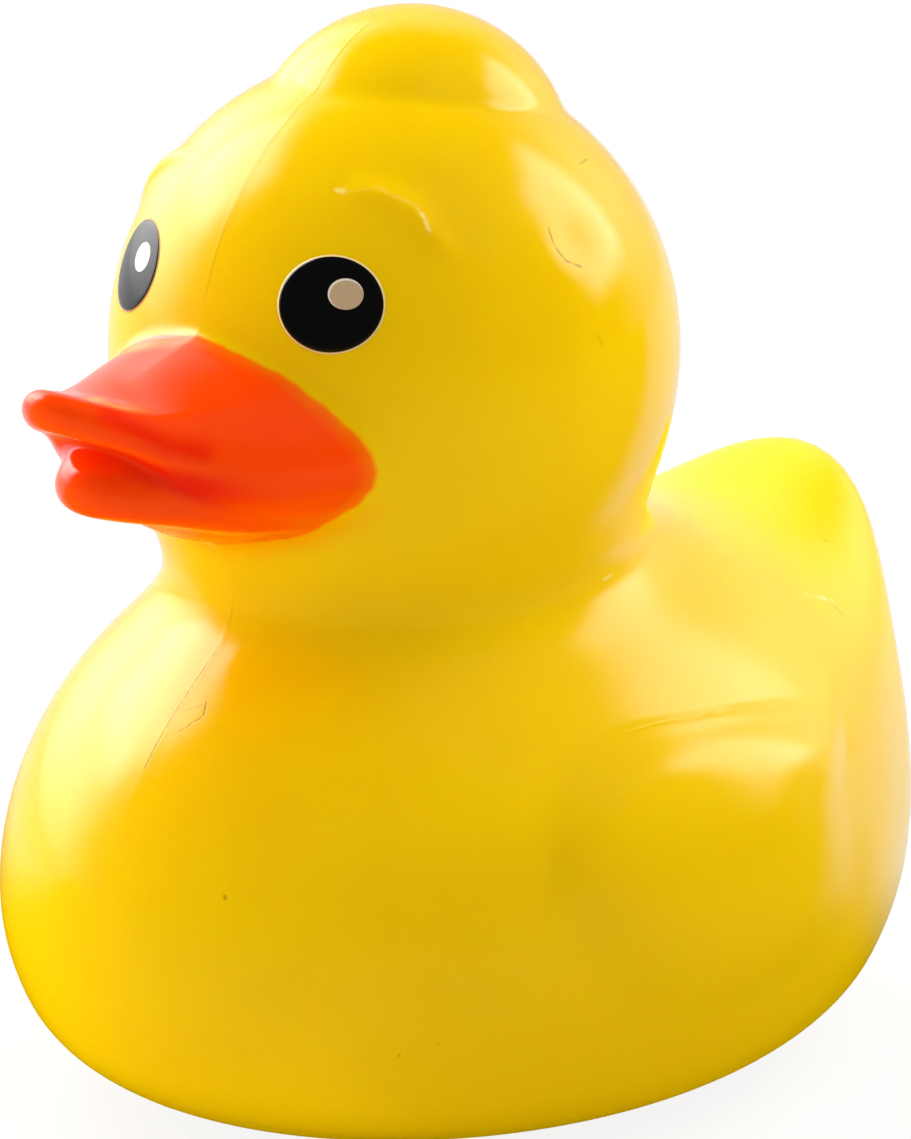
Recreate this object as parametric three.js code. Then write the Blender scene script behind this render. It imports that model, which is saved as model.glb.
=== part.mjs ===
// Squishy toy duck, one soft moulding with a flat base. Millimetres, +Z up, bill towards -Y.
//
// The skin is the zero surface of a distance-like field: rounded forms joined with fillets. It is drawn
// as a sphere's grid of rows and columns, with every column moved onto the duck's own section there.
import * as THREE from 'three';
import { mergeVertices } from 'three/addons/utils/BufferGeometryUtils.js';

// Body: an egg lying along Y, measured from its centre, and cut flat at the floor
const BODY_HALF_WIDTH = 35.4;
const BODY_FRONT = 44;
const BODY_BACK = 45.8;
const BODY_ABOVE = 32.6;
const BODY_BELOW = 28.7;
const BODY_CENTRE_HEIGHT = 18.5;
const BASE_ROUNDING = 9.4;

// Tail: a broad upturned paddle that grows out of the body's back end
const TAIL_HALF_WIDTH = 15.8;
const TAIL_HALF_LENGTH = 25;
const TAIL_HALF_THICKNESS = 7.5;
const TAIL_TILT_DEG = 50;
const TAIL_SEAT = 14.1;
const TAIL_RISE = 9.8;
const TAIL_FILLET = 14.6;

// Wings: low swellings on the flanks, crisp along the top edge and fading out below
const WING_HEIGHT = 1.7;
const WING_FRONT = 14;
const WING_BACK = 29.5;
const WING_ABOVE = 11;
const WING_BELOW = 14;
const WING_FORWARD = 7.5;
const WING_RISE = 7.7;
const WING_TIP_LIFT = 9;
const WING_LIFT_START = 17;
const WING_SHOULDER = 0.6;

// Head: a ball standing over the front of the body
const HEAD_HALF_WIDTH = 24.1;
const HEAD_FRONT = 22.8;
const HEAD_BACK = 25.7;
const HEAD_ABOVE = 25;
const HEAD_BELOW = 27.3;
const HEAD_FORWARD = 10.4;
const HEAD_OVER_BODY = 13.7;
const NECK_FILLET = 11;

// Crest: a rounded tuft on the crown, with a crease around its foot
const CREST_HALF_WIDTH = 13.5;
const CREST_HALF_LENGTH = 14;
const CREST_HALF_HEIGHT = 13.4;
const CREST_BACKWARD = 2.5;
const CREST_SEAT = 9.5;
const CREST_FILLET = 0.4;

// Brows: low ridges that run round the upper outer side of each eye
const EYE_SIDE = 11;
const EYE_RISE = 8.1;
const EYE_SEAT = 4;
const BROW_RADIUS = 10;
const BROW_HALF_WIDTH = 1.1;
const BROW_HEIGHT = 0.7;
const BROW_MIDDLE_DEG = 25;
const BROW_HALF_SPAN_DEG = 40;

// Bill: a muzzle seated in the head, with an arched upper lip over a shorter lower lip
const BILL_SEAT = 8.4;
const BILL_DROP = 4.6;
const MUZZLE_HALF_WIDTH = 15.2;
const MUZZLE_REACH = 18.2;
const MUZZLE_ABOVE = 10;
const MUZZLE_BELOW = 9.1;
const MUZZLE_KEEL = 0.12;
const UPPER_LIP_HALF_WIDTH = 10;
const UPPER_LIP_REACH = 26;
const UPPER_LIP_HALF_THICKNESS = 1.7;
const UPPER_LIP_RISE = 3;
const UPPER_LIP_CURL = 2.6;
const UPPER_LIP_FILLET = 4.5;
const LOWER_LIP_HALF_WIDTH = 9.8;
const LOWER_LIP_REACH = 22.2;
const LOWER_LIP_HALF_THICKNESS = 2.5;
const LOWER_LIP_DROP = 1.6;
const LIP_ARCH = 2.7;
const MOUTH_FILLET = 1.6;
const BILL_FILLET = 1.2;

// Grid of the skin: columns crowd together at the face, and rows gather at bends
const FACE_SPAN_DEG = 46;
const FACE_COLUMNS = 18;
const SIDE_COLUMNS = 22;
const CREST_ROWS = 8;
const HEAD_ROWS = 34;
const BODY_ROWS = 24;
const BASE_ROWS = 6;
const TRACE_STEP = 0.25;
const BEND_PULL = 5;

const SKIN_COLOUR = '#f2c40a';
const SKIN_ROUGHNESS = 0.35;

// Softness of the change between the two ends of an egg
const BODY_LENGTH_BLEND = 12;
const BODY_HEIGHT_BLEND = 8;
const HEAD_BLEND = 8;
const MUZZLE_BLEND = 3;
const WING_LENGTH_BLEND = 5;
const WING_HEIGHT_BLEND = 3;

// Places worked out from the sizes, measured from the point on the floor under the body's centre
const HEAD_Y = -HEAD_FORWARD;
const HEAD_Z = BODY_CENTRE_HEIGHT + BODY_ABOVE + HEAD_OVER_BODY;
const CREST_Y = HEAD_Y + CREST_BACKWARD;
const CREST_Z = HEAD_Z + HEAD_ABOVE - CREST_SEAT;
const BILL_Y = HEAD_Y - HEAD_FRONT + BILL_SEAT;
const BILL_Z = HEAD_Z - BILL_DROP;
const EYE_Y = HEAD_Y - HEAD_FRONT + EYE_SEAT;
const EYE_Z = HEAD_Z + EYE_RISE;
const TAIL_Y = BODY_BACK - TAIL_SEAT;
const TAIL_Z = BODY_CENTRE_HEIGHT + TAIL_RISE;
const WING_Y = -WING_FORWARD;
const WING_Z = BODY_CENTRE_HEIGHT + WING_RISE;

function filletedJoin(a, b, fillet) {
  const near = Math.max(fillet - Math.abs(a - b), 0) / fillet;
  return Math.min(a, b) - near * near * fillet / 4;
}

// A fillet whose bend starts and ends gently
function softJoin(a, b, fillet) {
  const near = Math.max(fillet - Math.abs(a - b), 0) / fillet;
  return Math.min(a, b) - near ** 3 * fillet / 6;
}

function roundedCut(a, b, rounding) {
  return -filletedJoin(-a, -b, rounding);
}

// Share of the positive end at a place along an egg, from 0 to 1
function positiveShare(along, blend) {
  return 0.5 + 0.5 * Math.tanh(along / blend);
}

function eggRadius(along, negativeEnd, positiveEnd, blend) {
  return negativeEnd + (positiveEnd - negativeEnd) * positiveShare(along, blend);
}

function ellipsoid(x, y, z, radiusX, radiusY, radiusZ) {
  const reach = Math.hypot(x / radiusX, y / radiusY, z / radiusZ);
  const slope = Math.hypot(x / radiusX ** 2, y / radiusY ** 2, z / radiusZ ** 2);
  return slope > 0 ? reach * (reach - 1) / slope : -Math.min(radiusX, radiusY, radiusZ);
}

// A lip: a plate with an oval outline and a fully rounded edge
function lip(x, y, z, halfWidth, reach, halfThickness) {
  const outline = ellipsoid(x, y, 0, halfWidth, reach, 1);
  return Math.hypot(Math.max(outline + halfThickness, 0), z) - halfThickness;
}

function bodyField(x, y, z) {
  const up = z - BODY_CENTRE_HEIGHT;
  const length = eggRadius(y, BODY_FRONT, BODY_BACK, BODY_LENGTH_BLEND);
  const height = eggRadius(up, BODY_BELOW, BODY_ABOVE, BODY_HEIGHT_BLEND);
  return ellipsoid(x, y, up, BODY_HALF_WIDTH, length, height);
}

function tailField(x, y, z) {
  const tilt = THREE.MathUtils.degToRad(TAIL_TILT_DEG);
  const back = y - TAIL_Y;
  const up = z - TAIL_Z;
  const along = back * Math.cos(tilt) + up * Math.sin(tilt);
  const across = up * Math.cos(tilt) - back * Math.sin(tilt);
  return ellipsoid(x, along, across, TAIL_HALF_WIDTH, TAIL_HALF_LENGTH, TAIL_HALF_THICKNESS);
}

// How far the wings stand out of the flank, by the place seen from the side
function wingRelief(y, z) {
  const back = y - WING_Y;
  const lifted = Math.max(back - WING_LIFT_START, 0) / (WING_BACK - WING_LIFT_START);
  const up = z - WING_Z - WING_TIP_LIFT * lifted ** 2;
  const length = eggRadius(back, WING_FRONT, WING_BACK, WING_LENGTH_BLEND);
  const height = eggRadius(up, WING_BELOW, WING_ABOVE, WING_HEIGHT_BLEND);
  const inside = Math.max(1 - (back / length) ** 2 - (up / height) ** 2, 0);
  const risen = Math.min(inside / WING_SHOULDER, 1);
  const crisp = risen * (2 - risen);
  const faded = inside * inside * (3 - 2 * inside);
  return WING_HEIGHT * THREE.MathUtils.lerp(faded, crisp, positiveShare(up, WING_HEIGHT_BLEND));
}

// How far the brows stand out of the head: a band at one distance from each eye's centre
function browRelief(x, y, z) {
  const side = Math.abs(x) - EYE_SIDE;
  const up = z - EYE_Z;
  const across = (Math.hypot(side, y - EYE_Y, up) - BROW_RADIUS) / BROW_HALF_WIDTH;
  const turned = THREE.MathUtils.radToDeg(Math.atan2(side, up)) - BROW_MIDDLE_DEG;
  const along = turned / BROW_HALF_SPAN_DEG;
  return BROW_HEIGHT * Math.exp(-across * across) * Math.max(1 - along * along, 0);
}

function headField(x, y, z) {
  const back = y - HEAD_Y;
  const up = z - HEAD_Z;
  const length = eggRadius(back, HEAD_FRONT, HEAD_BACK, HEAD_BLEND);
  const height = eggRadius(up, HEAD_BELOW, HEAD_ABOVE, HEAD_BLEND);
  return ellipsoid(x, back, up, HEAD_HALF_WIDTH, length, height) - browRelief(x, y, z);
}

function crestField(x, y, z) {
  return ellipsoid(x, y - CREST_Y, z - CREST_Z, CREST_HALF_WIDTH, CREST_HALF_LENGTH, CREST_HALF_HEIGHT);
}

function billField(x, y, z) {
  const side = Math.abs(x);
  const back = y - BILL_Y;
  const up = z - BILL_Z;
  const height = eggRadius(up, MUZZLE_BELOW, MUZZLE_ABOVE, MUZZLE_BLEND) - MUZZLE_KEEL * side;
  const muzzle = ellipsoid(side, back, up, MUZZLE_HALF_WIDTH, MUZZLE_REACH, height);
  const arched = up + LIP_ARCH * (side / UPPER_LIP_HALF_WIDTH) ** 2;
  const curl = UPPER_LIP_CURL * (Math.max(-back, 0) / UPPER_LIP_REACH) ** 3;
  const upper = lip(side, back, arched - UPPER_LIP_RISE - curl,
    UPPER_LIP_HALF_WIDTH, UPPER_LIP_REACH, UPPER_LIP_HALF_THICKNESS);
  const lower = lip(side, back, arched + LOWER_LIP_DROP,
    LOWER_LIP_HALF_WIDTH, LOWER_LIP_REACH, LOWER_LIP_HALF_THICKNESS);
  return filletedJoin(filletedJoin(muzzle, upper, UPPER_LIP_FILLET), lower, MOUTH_FILLET);
}

function hullField(x, y, z) {
  return filletedJoin(bodyField(x, y, z), tailField(x, y, z), TAIL_FILLET) - wingRelief(y, z);
}

function duckField(x, y, z) {
  const body = roundedCut(hullField(x, y, z), -z, BASE_ROUNDING);
  const head = filletedJoin(headField(x, y, z), crestField(x, y, z), CREST_FILLET);
  return filletedJoin(softJoin(head, body, NECK_FILLET), billField(x, y, z), BILL_FILLET);
}

// The upright half-plane at one angle round the crest's axis, from 0 at the bill to 180 at the tail
function halfPlane(degrees) {
  const angle = THREE.MathUtils.degToRad(degrees);
  const place = (r, z) => new THREE.Vector3(r * Math.sin(angle), CREST_Y - r * Math.cos(angle), z);
  const field = (r, z) => duckField(...place(r, z));
  const slope = (r, z) => {
    const d = TRACE_STEP / 20;
    const alongR = field(r + d, z) - field(r - d, z);
    const alongZ = field(r, z + d) - field(r, z - d);
    return new THREE.Vector2(alongR, alongZ).divideScalar(2 * d);
  };
  return { place, field, slope };
}

function crownHeight({ field }) {
  let outside = CREST_Z + 2 * CREST_HALF_HEIGHT + HEAD_ABOVE;
  let inside = CREST_Z;
  while (outside - inside > 1e-9) {
    const middle = (outside + inside) / 2;
    if (field(0, middle) < 0) inside = middle;
    else outside = middle;
  }
  return inside;
}

// The skin's section in a half-plane, as closely spaced points from the crown to the base's middle
function traceSection(plane) {
  const points = [new THREE.Vector2(0, crownHeight(plane))];
  const heading = new THREE.Vector2(1, 0);
  let current = points[0];
  do {
    const next = current.clone().addScaledVector(heading, TRACE_STEP);
    for (let pass = 0; pass < 4; pass++) {
      const slope = plane.slope(next.x, next.y);
      next.addScaledVector(slope, -plane.field(next.x, next.y) / slope.lengthSq());
    }
    heading.subVectors(next, current).normalize();
    points.push(next);
    current = next;
  } while (current.x > 0);
  current.set(0, 0);
  return points;
}

// Rows of one section: a fixed number of rows to each stretch, closer together where it bends
function sectionRows(degrees) {
  const plane = halfPlane(degrees);
  const points = traceSection(plane);
  const effort = [0];
  for (let i = 1; i < points.length; i++) {
    const before = points[Math.max(i - 2, 0)];
    const step = points[i].clone().sub(points[i - 1]);
    const stepBefore = points[i - 1].clone().sub(before);
    const bend = i > 1 ? Math.abs(Math.atan2(stepBefore.cross(step), stepBefore.dot(step))) : 0;
    effort.push(effort[i - 1] + step.length() + BEND_PULL * bend);
  }

  const firstIndex = (from, test) => {
    const found = points.findIndex((point, i) => i > from && test(...plane.place(point.x, point.y)));
    return found < 0 ? points.length - 1 : found;
  };
  const crestFoot = firstIndex(0, (x, y, z) => headField(x, y, z) < crestField(x, y, z));
  const neck = firstIndex(crestFoot, (x, y, z) => {
    const overNeck = Math.min(headField(x, y, z), billField(x, y, z));
    return hullField(x, y, z) < overNeck;
  });
  const baseEdge = firstIndex(neck, (x, y, z) => -z > hullField(x, y, z));

  const stretches = [
    [0, crestFoot, CREST_ROWS],
    [crestFoot, neck, HEAD_ROWS],
    [neck, baseEdge, BODY_ROWS],
    [baseEdge, points.length - 1, BASE_ROWS],
  ];
  const rows = [points[0]];
  for (const [start, end, count] of stretches) {
    for (let row = 1, i = start; row <= count; row++) {
      const target = THREE.MathUtils.lerp(effort[start], effort[end], row / count);
      while (i < end - 1 && effort[i + 1] < target) i++;
      const share = (target - effort[i]) / (effort[i + 1] - effort[i]);
      rows.push(points[i].clone().lerp(points[i + 1], share));
    }
  }
  return rows.map((point) => plane.place(point.x, point.y));
}

function columnAngles() {
  const angles = [];
  for (let i = 0; i < FACE_COLUMNS; i++) angles.push(FACE_SPAN_DEG * i / FACE_COLUMNS);
  for (let i = 0; i <= SIDE_COLUMNS; i++) {
    angles.push(FACE_SPAN_DEG + (180 - FACE_SPAN_DEG) * i / SIDE_COLUMNS);
  }
  return angles;
}

// Triangles of the grid, each cell split along its shorter diagonal, with single ones at both poles
function gridTriangles(columns, rowCount) {
  const index = [];
  for (let row = 0; row < rowCount; row++) {
    for (let column = 0; column < columns.length - 1; column++) {
      const b = row * columns.length + column;
      const a = b + 1;
      const c = b + columns.length;
      const d = c + 1;
      const across = columns[column + 1][row].distanceTo(columns[column][row + 1]);
      const along = columns[column][row].distanceTo(columns[column + 1][row + 1]);
      if (row === 0) index.push(b, c, d);
      else if (row === rowCount - 1) index.push(a, b, d);
      else if (across < along) index.push(a, b, c, a, c, d);
      else index.push(a, b, d, b, c, d);
    }
  }
  return index;
}

function duckGeometry() {
  const half = columnAngles().map(sectionRows);
  const mirror = new THREE.Vector3(-1, 1, 1);
  const otherHalf = half.slice(0, -1).reverse();
  const columns = [...half, ...otherHalf.map((rows) => rows.map((point) => point.clone().multiply(mirror)))];
  const rowCount = columns[0].length - 1;
  const grid = new THREE.SphereGeometry(1, columns.length - 1, rowCount);
  const position = grid.getAttribute('position');
  columns.forEach((rows, column) => {
    rows.forEach((point, row) => position.setXYZ(row * columns.length + column, ...point));
  });
  grid.setIndex(gridTriangles(columns, rowCount));
  grid.deleteAttribute('normal');
  grid.deleteAttribute('uv');
  const skin = mergeVertices(grid);
  skin.computeBoundingBox();
  const middle = skin.boundingBox.getCenter(new THREE.Vector3());
  skin.translate(-middle.x, -middle.y, 0);
  skin.computeVertexNormals();
  return skin;
}

const skinMaterial = new THREE.MeshStandardMaterial({
  color: SKIN_COLOUR,
  roughness: SKIN_ROUGHNESS,
  metalness: 0,
});
const body = new THREE.Mesh(duckGeometry(), skinMaterial);
body.name = 'duck_body';

const duck = new THREE.Group();
duck.add(body);

export default duck;
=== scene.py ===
"""Dresses the squishy toy duck: a soft glossy skin, a sprayed bill, printed eyes and a plain studio."""
import math

import bmesh
import bpy
import numpy as np
from bpy.props import FloatProperty, FloatVectorProperty, PointerProperty
from mathutils import Matrix, Vector


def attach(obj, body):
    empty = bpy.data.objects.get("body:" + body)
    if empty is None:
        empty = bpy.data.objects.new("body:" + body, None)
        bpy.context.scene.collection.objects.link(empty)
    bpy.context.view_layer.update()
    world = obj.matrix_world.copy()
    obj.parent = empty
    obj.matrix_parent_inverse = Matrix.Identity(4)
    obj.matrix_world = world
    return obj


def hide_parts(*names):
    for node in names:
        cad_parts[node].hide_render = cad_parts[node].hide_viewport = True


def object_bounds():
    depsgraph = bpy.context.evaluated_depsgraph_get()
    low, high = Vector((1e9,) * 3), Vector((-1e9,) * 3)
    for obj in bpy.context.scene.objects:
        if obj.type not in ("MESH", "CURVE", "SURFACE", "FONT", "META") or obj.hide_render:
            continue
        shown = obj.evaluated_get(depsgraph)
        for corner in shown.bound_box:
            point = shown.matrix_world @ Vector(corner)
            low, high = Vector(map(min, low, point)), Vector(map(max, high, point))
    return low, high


bl_info = {
    "name": "Squishy Toy Duck",
    "version": (1, 0, 0),
    "blender": (4, 5, 0),
    "location": "3D View > Sidebar > Duck",
    "description": "Builds the skin, the eyes and the studio of a soft toy duck",
    "category": "Object",
}

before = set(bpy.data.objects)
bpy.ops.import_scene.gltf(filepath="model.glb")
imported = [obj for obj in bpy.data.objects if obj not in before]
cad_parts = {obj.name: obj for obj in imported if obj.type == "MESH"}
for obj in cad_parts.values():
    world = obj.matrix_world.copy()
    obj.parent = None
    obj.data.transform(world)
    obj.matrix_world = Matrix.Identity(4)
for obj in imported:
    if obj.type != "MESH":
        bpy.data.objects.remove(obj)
CAD_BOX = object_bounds()
BODY = "root"
NODE = "duck_body"
MM = 0.001

# Body, tail and wings of the moulding, in millimetres from the body's centre
BODY_HALF_WIDTH, BODY_FRONT, BODY_BACK = 35.4, 44.0, 45.8
BODY_ABOVE, BODY_BELOW, BODY_CENTRE_HEIGHT = 32.6, 28.7, 18.5
BASE_ROUNDING = 9.4
TAIL_HALF_WIDTH, TAIL_HALF_LENGTH, TAIL_HALF_THICKNESS = 15.8, 25.0, 7.5
TAIL_TILT_DEG, TAIL_SEAT, TAIL_RISE, TAIL_FILLET = 50.0, 14.1, 9.8, 14.6
WING_HEIGHT, WING_FRONT, WING_BACK, WING_ABOVE, WING_BELOW = 1.7, 14.0, 29.5, 11.0, 14.0
WING_FORWARD, WING_RISE, WING_TIP_LIFT, WING_LIFT_START, WING_SHOULDER = 7.5, 7.7, 9.0, 17.0, 0.6

# Head, crest and brows of the moulding, in millimetres
HEAD_HALF_WIDTH, HEAD_FRONT, HEAD_BACK = 24.1, 22.8, 25.7
HEAD_ABOVE, HEAD_BELOW, HEAD_FORWARD, HEAD_OVER_BODY = 25.0, 27.3, 10.4, 13.7
NECK_FILLET = 11.0
CREST_HALF_WIDTH, CREST_HALF_LENGTH, CREST_HALF_HEIGHT = 13.5, 14.0, 13.4
CREST_BACKWARD, CREST_SEAT, CREST_FILLET = 2.5, 9.5, 0.4
EYE_SIDE, EYE_RISE, EYE_SEAT = 11.0, 8.1, 4.0
BROW_RADIUS, BROW_HALF_WIDTH, BROW_HEIGHT = 10.0, 1.1, 0.7
BROW_MIDDLE_DEG, BROW_HALF_SPAN_DEG = 25.0, 40.0

# Bill of the moulding, in millimetres
BILL_SEAT, BILL_DROP, BILL_FILLET, MOUTH_FILLET = 8.4, 4.6, 1.2, 1.6
MUZZLE_HALF_WIDTH, MUZZLE_REACH, MUZZLE_ABOVE, MUZZLE_BELOW, MUZZLE_KEEL = 15.2, 18.2, 10.0, 9.1, 0.12
UPPER_LIP_HALF_WIDTH, UPPER_LIP_REACH, UPPER_LIP_HALF_THICKNESS = 10.0, 26.0, 1.7
UPPER_LIP_RISE, UPPER_LIP_CURL, UPPER_LIP_FILLET = 3.0, 2.6, 4.5
LOWER_LIP_HALF_WIDTH, LOWER_LIP_REACH, LOWER_LIP_HALF_THICKNESS = 9.8, 22.2, 2.5
LOWER_LIP_DROP, LIP_ARCH = 1.6, 2.7

# Painted shade: deep red in the mouth between the lips and in the hollow above the upper lip's edge, in
# millimetres
MOUTH_HALF_WIDTH, MOUTH_CORNER, MOUTH_LENGTH = 2.3, 16.8, 3.8
HOLLOW_HALF_WIDTH, HOLLOW_STRENGTH = 1.1, 0.65
HOLLOW_PLACES = ((4.4, -47.2, 65.5), (5.7, -45.7, 64.5), (7.1, -43.7, 62.9), (8.6, -41.3, 62.3))

# Depth beyond which the bill's paint is the same, in millimetres
BILL_DEPTH = 4.0

# Softness of the change between the two ends of an egg, in millimetres
BODY_LENGTH_BLEND, BODY_HEIGHT_BLEND, HEAD_BLEND = 12.0, 8.0, 8.0
MUZZLE_BLEND, WING_LENGTH_BLEND, WING_HEIGHT_BLEND = 3.0, 5.0, 3.0

# Places in the frame, in millimetres; the tip of the bill gives where the body's centre lies
BODY_Y = CAD_BOX[0].y / MM + HEAD_FORWARD + HEAD_FRONT - BILL_SEAT + UPPER_LIP_REACH
HEAD_Y = BODY_Y - HEAD_FORWARD
HEAD_Z = BODY_CENTRE_HEIGHT + BODY_ABOVE + HEAD_OVER_BODY
CREST_Y = HEAD_Y + CREST_BACKWARD
CREST_Z = HEAD_Z + HEAD_ABOVE - CREST_SEAT
BILL_Y = HEAD_Y - HEAD_FRONT + BILL_SEAT
BILL_Z = HEAD_Z - BILL_DROP
EYE_Y = HEAD_Y - HEAD_FRONT + EYE_SEAT
EYE_Z = HEAD_Z + EYE_RISE
TAIL_Y = BODY_Y + BODY_BACK - TAIL_SEAT
TAIL_Z = BODY_CENTRE_HEIGHT + TAIL_RISE
WING_Y = BODY_Y - WING_FORWARD
WING_Z = BODY_CENTRE_HEIGHT + WING_RISE

# Camera: the photograph's frame, viewing angle and scale
IMAGE_WIDTH, IMAGE_HEIGHT = 911, 1139
CAMERA_AZIMUTH_DEG, CAMERA_ELEVATION_DEG, CAMERA_ROLL_DEG = 41.51, 14.66, 1.26
CAMERA_DISTANCE = 0.415
CAMERA_AIM = Vector((0, -0.00005, 0.0439))
PIXELS_PER_METRE = 11515
SENSOR = 36.0


class DuckSizes(bpy.types.PropertyGroup):
    """Sizes of the finish that the moulding carries."""

    seam_height: FloatProperty(
        name="Seam Height", description="How far the mould seam stands out of the skin",
        default=0.00002, min=0, unit="LENGTH")
    dent_depth: FloatProperty(
        name="Dent Depth", description="Depth of the soft dents on the sides of the head",
        default=0.0003, min=0, unit="LENGTH")
    eye_width: FloatProperty(
        name="Eye Width", description="Width of a printed eye with its rim",
        default=0.0091, min=0.001, unit="LENGTH")
    eye_height: FloatProperty(
        name="Eye Height", description="Height of a printed eye with its rim",
        default=0.0081, min=0.001, unit="LENGTH")
    eye_rim: FloatProperty(
        name="Eye Rim", description="Width of the cream rim round the black of the eye",
        default=0.00016, min=0, unit="LENGTH")
    glint_width: FloatProperty(
        name="Glint Width", description="Width of the pale glint printed in the eye",
        default=0.0029, min=0, unit="LENGTH")
    glint_height: FloatProperty(
        name="Glint Height", description="Height of the pale glint printed in the eye",
        default=0.0025, min=0, unit="LENGTH")
    print_thickness: FloatProperty(
        name="Print Thickness", description="Thickness of the ink of the eyes",
        default=0.00006, min=0.00001, unit="LENGTH")


def colour_property(name, description, default):
    return FloatVectorProperty(
        name=name, description=description, default=(*default, 1), size=4, min=0, max=1, subtype="COLOR")


class DuckColours(bpy.types.PropertyGroup):
    """Colours of the duck and of its floor."""

    skin: colour_property("Skin", "Yellow of the soft moulding", (0.9, 0.57, 0.0))
    # Painted glow: a lighter yellow on the back and the tail that stands in for the strong light from behind
    # and for light through the thin tail
    skin_painted_glow: colour_property("Thin Skin", "Lighter yellow of the back and the thin tail", (0.95, 0.67, 0.0))
    skin_deep: colour_property("Deep Skin", "Deeper yellow that mottles the moulding", (0.86, 0.52, 0.0))
    # Painted shade: a deeper yellow low on the wings, where less light falls
    skin_flank_shade: colour_property("Flank Skin", "Deeper yellow low on the wings", (0.8, 0.5, 0.0))
    bill: colour_property("Bill", "Orange sprayed on the bill", (1.0, 0.062, 0.0))
    # Painted shade: a deep red in the groove of the mouth and in the hollow above the upper lip
    mouth: colour_property("Mouth", "Deep red in the groove of the mouth", (0.8, 0.0, 0.0))
    bill_thin: colour_property("Thin Bill", "Orange where the spray is thin", (1.0, 0.17, 0.0))
    # Pale yellow of scuffs, and of painted highlights along the brow's ridge
    scuff_and_highlight: colour_property("Scuff", "Pale yellow of fine scuffs", (1.0, 0.88, 0.35))
    # Brown of real nicks and specks, and also painted shade along the seam and along the gate mark's edges
    grime_and_shade: colour_property("Grime", "Brown of fine nicks and of the seam", (0.25, 0.14, 0.0))
    eye: colour_property("Eye", "Black ink of the eyes", (0.004, 0.004, 0.004))
    eye_rim: colour_property("Eye Rim", "Cream ink round the black of the eyes", (0.93, 0.68, 0.28))
    glint: colour_property("Glint", "Beige ink of the glint", (0.48, 0.34, 0.19))
    # Painted sheen: the right eye's glint is whiter, standing in for the light it catches
    glint_right_painted_sheen: colour_property("Right Glint", "White ink of the right eye's glint", (0.85, 0.82, 0.78))
    glint_rim: colour_property("Glint Rim", "Pale edge of the glint", (0.75, 0.65, 0.55))
    floor: colour_property("Floor", "Pale floor of the studio", (0.9, 0.9, 0.9))


def filleted_join(a, b, fillet):
    near = np.maximum(fillet - np.abs(a - b), 0) / fillet
    return np.minimum(a, b) - near * near * fillet / 4


def soft_join(a, b, fillet):
    """A fillet whose bend starts and ends gently."""
    near = np.maximum(fillet - np.abs(a - b), 0) / fillet
    return np.minimum(a, b) - near ** 3 * fillet / 6


def rounded_cut(a, b, rounding):
    return -filleted_join(-a, -b, rounding)


def positive_share(along, blend):
    return 0.5 + 0.5 * np.tanh(along / blend)


def ramp(value, low, high):
    return np.clip((value - low) / (high - low), 0, 1)


def smooth_ramp(value, low, high):
    share = ramp(value, low, high)
    return share * share * (3 - 2 * share)


def egg_radius(along, negative_end, positive_end, blend):
    return negative_end + (positive_end - negative_end) * positive_share(along, blend)


def ellipsoid(x, y, z, radius_x, radius_y, radius_z):
    reach = np.sqrt((x / radius_x) ** 2 + (y / radius_y) ** 2 + (z / radius_z) ** 2)
    slope = np.sqrt((x / radius_x ** 2) ** 2 + (y / radius_y ** 2) ** 2 + (z / radius_z ** 2) ** 2)
    return reach * (reach - 1) / np.maximum(slope, 1e-9)


def lip(x, y, z, half_width, reach, half_thickness):
    """A plate with an oval outline and a fully rounded edge."""
    outline = ellipsoid(x, y, 0 * z, half_width, reach, 1.0)
    return np.hypot(np.maximum(outline + half_thickness, 0), z) - half_thickness


def body_field(x, y, z):
    back, up = y - BODY_Y, z - BODY_CENTRE_HEIGHT
    length = egg_radius(back, BODY_FRONT, BODY_BACK, BODY_LENGTH_BLEND)
    height = egg_radius(up, BODY_BELOW, BODY_ABOVE, BODY_HEIGHT_BLEND)
    return ellipsoid(x, back, up, BODY_HALF_WIDTH, length, height)


def tail_field(x, y, z):
    tilt = math.radians(TAIL_TILT_DEG)
    back, up = y - TAIL_Y, z - TAIL_Z
    along = back * math.cos(tilt) + up * math.sin(tilt)
    across = up * math.cos(tilt) - back * math.sin(tilt)
    return ellipsoid(x, along, across, TAIL_HALF_WIDTH, TAIL_HALF_LENGTH, TAIL_HALF_THICKNESS)


def wing_inside(y, z):
    """Share of the way into the wing's outline seen from the side, zero on it, and the height in the wing."""
    back = y - WING_Y
    lifted = np.maximum(back - WING_LIFT_START, 0) / (WING_BACK - WING_LIFT_START)
    up = z - WING_Z - WING_TIP_LIFT * lifted ** 2
    length = egg_radius(back, WING_FRONT, WING_BACK, WING_LENGTH_BLEND)
    height = egg_radius(up, WING_BELOW, WING_ABOVE, WING_HEIGHT_BLEND)
    return 1 - (back / length) ** 2 - (up / height) ** 2, up


def wing_relief(y, z):
    inside, up = wing_inside(y, z)
    inside = np.maximum(inside, 0)
    risen = np.minimum(inside / WING_SHOULDER, 1)
    crisp = risen * (2 - risen)
    faded = inside * inside * (3 - 2 * inside)
    return WING_HEIGHT * (faded + (crisp - faded) * positive_share(up, WING_HEIGHT_BLEND))


def brow_relief(x, y, z):
    side, up = np.abs(x) - EYE_SIDE, z - EYE_Z
    across = (np.sqrt(side ** 2 + (y - EYE_Y) ** 2 + up ** 2) - BROW_RADIUS) / BROW_HALF_WIDTH
    along = (np.degrees(np.arctan2(side, up)) - BROW_MIDDLE_DEG) / BROW_HALF_SPAN_DEG
    return BROW_HEIGHT * np.exp(-across * across) * np.maximum(1 - along * along, 0)


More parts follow.
